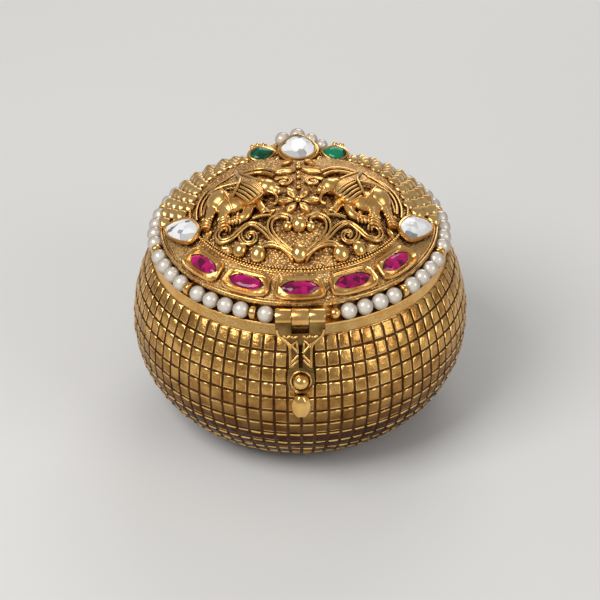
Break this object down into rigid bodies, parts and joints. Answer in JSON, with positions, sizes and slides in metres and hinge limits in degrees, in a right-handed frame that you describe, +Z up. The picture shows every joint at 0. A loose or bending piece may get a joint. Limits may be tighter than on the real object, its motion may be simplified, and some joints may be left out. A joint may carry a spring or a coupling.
{
  "type": "round hinged box",
  "caption": "Round trinket box with a squat chased bowl, a domed hinged lid with relief elephants and set stones, a string of pearls round the rim, and a hinged hasp that snaps on a ball stud.",
  "frame": {"origin": "centre of the bowl's flat base", "axes": "+Z up, the hasp faces -Y, the lid's hinge is at +Y"},
  "size_m": [0.077, 0.0807, 0.0572],
  "materials": {
    "antique_gold": "chased antique gold with dark recesses",
    "polished_gold": "polished gold",
    "pearl": "warm white pearl lustre",
    "ruby": "polished magenta red stone",
    "emerald": "polished deep green stone",
    "white_stone": "clear uncut white stone"
  },
  "bodies": {
    "bowl": {"bowl_shell": "antique_gold", "mouth_collar": "polished_gold", "rear_hinge_knuckles": "antique_gold", "rear_hinge_pin": "polished_gold", "clasp_stud": "polished_gold"},
    "lid": {"lid_shell": "antique_gold", "lid_rim": "polished_gold", "bead_wire": "antique_gold", "lid_hinge_leaf": "antique_gold", "clasp_lug": "antique_gold", "clasp_pin": "polished_gold", "pearls_left_1": "pearl", "pearls_left_2": "pearl", "pearls_left_3": "pearl", "pearls_left_4": "pearl", "pearls_left_5": "pearl", "pearls_right_1": "pearl", "pearls_right_2": "pearl", "pearls_right_3": "pearl", "pearls_right_4": "pearl", "pearls_right_5": "pearl", "pearls_single": "pearl", "pearl_spacers": "polished_gold", "pearl_wire": "polished_gold", "ruby_bezel_1": "antique_gold", "ruby_1": "ruby", "ruby_bezel_2": "antique_gold", "ruby_2": "ruby", "ruby_bezel_3": "antique_gold", "ruby_3": "ruby", "ruby_bezel_4": "antique_gold", "ruby_4": "ruby", "ruby_bezel_5": "antique_gold", "ruby_5": "ruby", "side_bezel_left": "antique_gold", "side_bezel_right": "antique_gold", "side_stone_left": "white_stone", "side_stone_right": "white_stone", "crest_plate": "antique_gold", "crest_pearls": "pearl", "crest_bezel": "antique_gold", "crest_stone": "white_stone", "emerald_bezel_left": "antique_gold", "emerald_bezel_right": "antique_gold", "emerald_left": "emerald", "emerald_right": "emerald", "crest_beads": "polished_gold", "band_studs_left": "antique_gold", "band_studs_right": "antique_gold", "elephant_left": "antique_gold", "elephant_right": "antique_gold", "flower": "antique_gold", "heart_scroll": "antique_gold", "scroll_left": "antique_gold", "scroll_right": "antique_gold", "frame_lines_left": "antique_gold", "frame_lines_right": "antique_gold", "gold_granules": "polished_gold"},
    "hasp": {"hasp": "antique_gold", "hasp_knob": "polished_gold"}
  },
  "joints": [
    {"name": "lid_hinge", "type": "hinge", "parent": "bowl", "child": "lid", "pos_m": [0, 0.0357, 0.04142], "axis": [-1, 0, 0], "range_deg": [0, 105]},
    {"name": "hasp_hinge", "type": "hinge", "parent": "lid", "child": "hasp", "pos_m": [0, -0.0337, 0.0442], "axis": [-1, 0, 0], "range_deg": [0, 140]}
  ]
}
